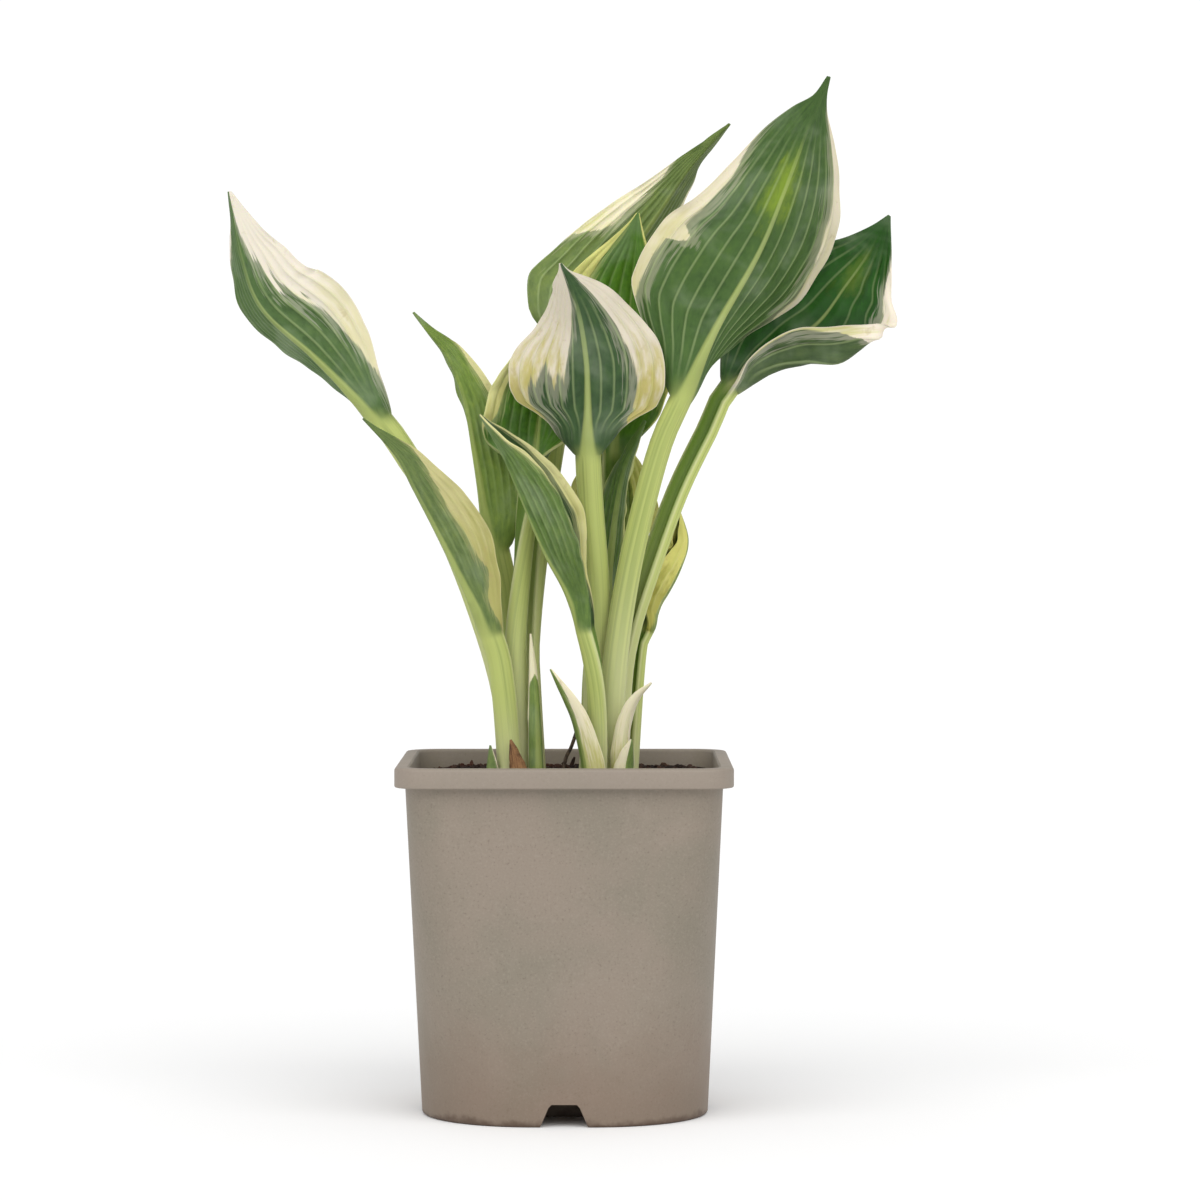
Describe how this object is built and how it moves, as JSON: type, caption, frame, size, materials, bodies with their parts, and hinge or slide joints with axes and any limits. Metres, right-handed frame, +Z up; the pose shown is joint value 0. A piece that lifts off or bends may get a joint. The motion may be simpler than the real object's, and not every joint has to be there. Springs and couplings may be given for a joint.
{
  "type": "potted variegated hosta",
  "caption": "Young variegated hosta with cream-margined, ribbed leaves rising on channelled stalks from a square grey-brown nursery pot.",
  "frame": {"origin": "centre of the pot, in the plane of the floor that it stands on", "axes": "+Z up along the pot's upright axis, -Y out of the front, where the picture is taken from, +X to the viewer's right"},
  "size_m": [0.1823, 0.09, 0.279],
  "materials": {
    "pot_plastic": "smooth moulded plastic, slightly dusty",
    "compost": "dark, crumbly",
    "leaf": "satin, ribbed, with cream margins",
    "sheath": "smooth, pale",
    "dry_sheath": "dry, papery",
    "twig": "dry"
  },
  "bodies": {
    "root": {"pot": "pot_plastic", "soil": "compost", "leaf_outer_left": "leaf", "leaf_lower_left": "leaf", "leaf_inner_left": "leaf", "leaf_inner_right": "leaf", "leaf_back_tall": "leaf", "leaf_front_right": "leaf", "leaf_front_centre": "leaf", "leaf_front_left": "leaf", "leaf_right": "leaf", "leaf_small_right": "leaf", "leaf_small_centre": "leaf", "leaf_back_low": "leaf", "leaf_back_upper": "leaf", "sheath_left_short": "sheath", "sheath_left_dry": "dry_sheath", "sheath_left_tall": "sheath", "sheath_right_tall": "sheath", "sheath_right_white": "sheath", "sheath_right_short": "sheath", "twig": "twig"}
  },
  "joints": []
}
